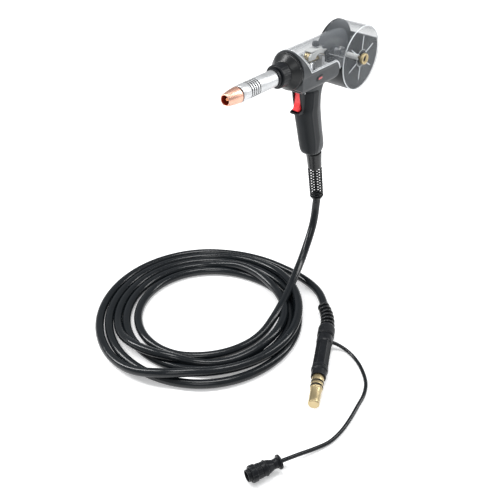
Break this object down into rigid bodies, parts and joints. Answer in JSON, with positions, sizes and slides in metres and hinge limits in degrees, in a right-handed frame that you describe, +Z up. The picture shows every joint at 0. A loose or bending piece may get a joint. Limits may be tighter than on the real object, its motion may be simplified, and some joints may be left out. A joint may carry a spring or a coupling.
{
  "type": "mig spool gun",
  "caption": "Pistol-grip MIG spool gun: copper nozzle, chromed barrel, clear drive cover and spool drum, red trigger, coiled power lead with pin plug and a control plug.",
  "frame": {"origin": "middle of the hand grip on the gun's middle plane", "axes": "+Z up, the barrel points along -X, the clear spool cap faces -Y"},
  "size_m": [0.6455, 0.5662, 0.4821],
  "materials": {
    "copper": "polished copper, heat-tinted at the tip",
    "brass": "machined brass, satin",
    "satin_chrome": "satin chrome plate",
    "steel": "bright machined steel",
    "cast_aluminium": "die-cast aluminium",
    "black_gloss": "glossy black moulding",
    "black_plastic": "fine-textured black moulding",
    "grey_plastic": "fine-textured dark grey moulding",
    "soft_rubber": "soft-touch black overmould",
    "cable_jacket": "black cable jacket, slightly glossy",
    "red_plastic": "glossy red moulding",
    "light_plastic": "light grey moulding",
    "clear_plastic": "clear polycarbonate"
  },
  "bodies": {
    "gun": {"gas_nozzle": "copper", "contact_tip": "copper", "gas_diffuser": "brass", "nozzle_insulator": "black_plastic", "barrel_tube": "satin_chrome", "conductor_tube": "brass", "barrel_screw": "steel", "barrel_ring": "black_plastic", "barrel_collar": "black_plastic", "front_dome": "black_gloss", "bayonet_ring": "black_gloss", "body_left": "grey_plastic", "body_right": "grey_plastic", "handle_left": "grey_plastic", "handle_right": "grey_plastic", "grip_overmould": "soft_rubber", "badge_plate": "black_plastic", "spool_housing": "grey_plastic", "spool_spindle": "light_plastic", "brake_spring": "steel", "brake_washer": "steel", "feed_frame": "cast_aluminium", "gearbox": "cast_aluminium", "drive_motor": "steel", "arm_pin": "black_plastic", "inlet_guide": "brass", "outlet_guide": "brass", "power_block": "brass", "trigger_surround": "black_plastic", "trigger_pin": "steel", "trigger_spring": "steel", "trigger_switch": "black_plastic", "shell_screws": "steel", "lead_clamp": "steel", "strain_relief": "soft_rubber", "power_lead": "cable_jacket", "power_coil": "cable_jacket", "power_tail": "cable_jacket", "plug_strain_relief": "soft_rubber", "plug_ring": "black_plastic", "plug_body": "black_plastic", "power_pin": "brass", "pin_o_rings": "soft_rubber", "control_lead": "cable_jacket", "control_clamp": "black_plastic", "control_backshell": "black_plastic", "control_insert": "black_plastic", "control_contacts": "brass"},
    "drive_cover": {"drive_cover": "clear_plastic"},
    "spool_cap": {"spool_cap": "clear_plastic"},
    "spindle_knob": {"spindle_knob": "brass"},
    "drive_roll": {"drive_roll": "steel"},
    "pressure_arm": {"pressure_arm": "light_plastic", "tension_screw": "steel", "tension_spring": "steel"},
    "idler_roll": {"idler_roll": "brass"},
    "tension_knob": {"tension_knob": "black_plastic"},
    "trigger": {"trigger": "red_plastic"},
    "control_coupling": {"control_coupling": "black_plastic"}
  },
  "joints": [
    {"name": "cover_lift", "type": "slide", "parent": "gun", "child": "drive_cover", "axis": [0, 0, 1], "range_m": [0, 0.06]},
    {"name": "cap_slide", "type": "slide", "parent": "gun", "child": "spool_cap", "axis": [0, -1, 0], "range_m": [0, 0.08]},
    {"name": "knob_turn", "type": "hinge", "parent": "spool_cap", "child": "spindle_knob", "pos_m": [0.103, -0.036, 0.094], "axis": [0, -1, 0], "continuous": true},
    {"name": "drive_roll_spin", "type": "hinge", "parent": "gun", "child": "drive_roll", "pos_m": [-0.015, 0, 0.101], "axis": [0, 1, 0], "continuous": true},
    {"name": "arm_swing", "type": "hinge", "parent": "gun", "child": "pressure_arm", "pos_m": [0.019, 0, 0.122], "axis": [0, 1, 0], "range_deg": [0, 5]},
    {"name": "idler_spin", "type": "hinge", "parent": "pressure_arm", "child": "idler_roll", "pos_m": [-0.015, 0, 0.122], "axis": [0, 1, 0], "continuous": true},
    {"name": "tension_turn", "type": "hinge", "parent": "pressure_arm", "child": "tension_knob", "pos_m": [0.002, 0, 0.14], "axis": [0, 0, 1], "continuous": true},
    {"name": "trigger_pull", "type": "hinge", "parent": "gun", "child": "trigger", "pos_m": [-0.035, 0, 0.064], "axis": [0, -1, 0], "range_deg": [0, 6], "stiffness_Nm_per_rad": 0.4, "springref_deg": -5.73},
    {"name": "coupling_turn", "type": "hinge", "parent": "gun", "child": "control_coupling", "pos_m": [-0.46748, -0.26145, -0.316], "axis": [-0.9272, 0.3746, 0], "continuous": true}
  ],
  "couplings": [
    {"joint": "idler_spin", "follows": "drive_roll_spin", "ratio": -1.3333}
  ]
}
